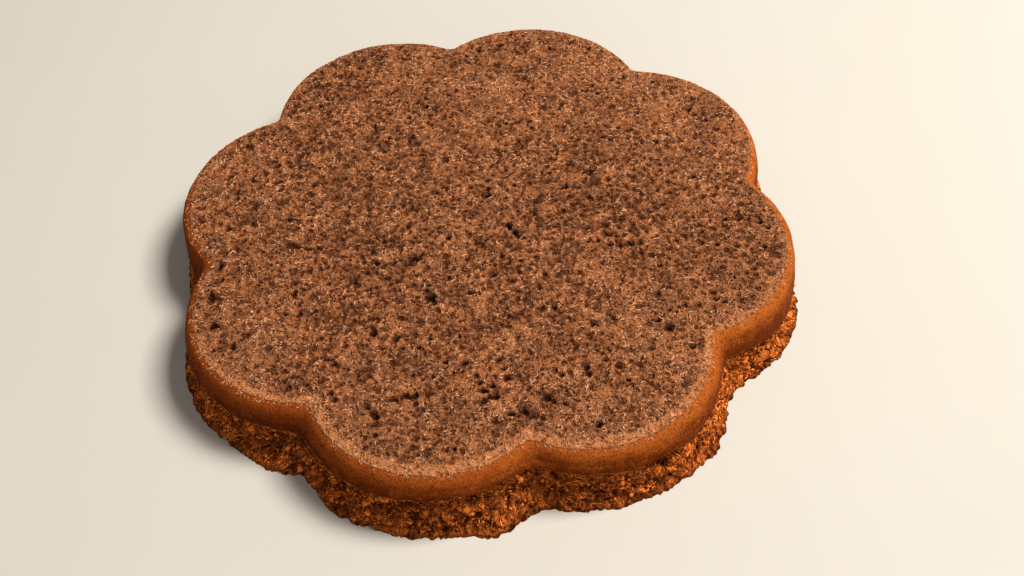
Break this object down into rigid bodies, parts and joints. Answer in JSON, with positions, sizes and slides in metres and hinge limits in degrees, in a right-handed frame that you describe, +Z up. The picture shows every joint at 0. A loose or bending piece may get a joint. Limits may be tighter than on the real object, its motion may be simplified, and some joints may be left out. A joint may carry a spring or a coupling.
{
  "type": "chocolate sponge cake layer",
  "caption": "Flat chocolate sponge layer from a petal tin, with a scalloped outline, a level-cut porous top face, a rounded band of crust and a torn crumbly side.",
  "frame": {"origin": "middle of the flat base, at the centre of the layer's bounding box", "axes": "+Z up, square to the base and the cut face; +X towards the middle of one lobe"},
  "size_m": [0.2406, 0.2404, 0.0263],
  "materials": {
    "chocolate_crumb": "matt, open brown crumb",
    "baked_crust": "satin, smooth orange-brown crust"
  },
  "bodies": {
    "root": {"sponge_layer": "chocolate_crumb"}
  },
  "joints": []
}
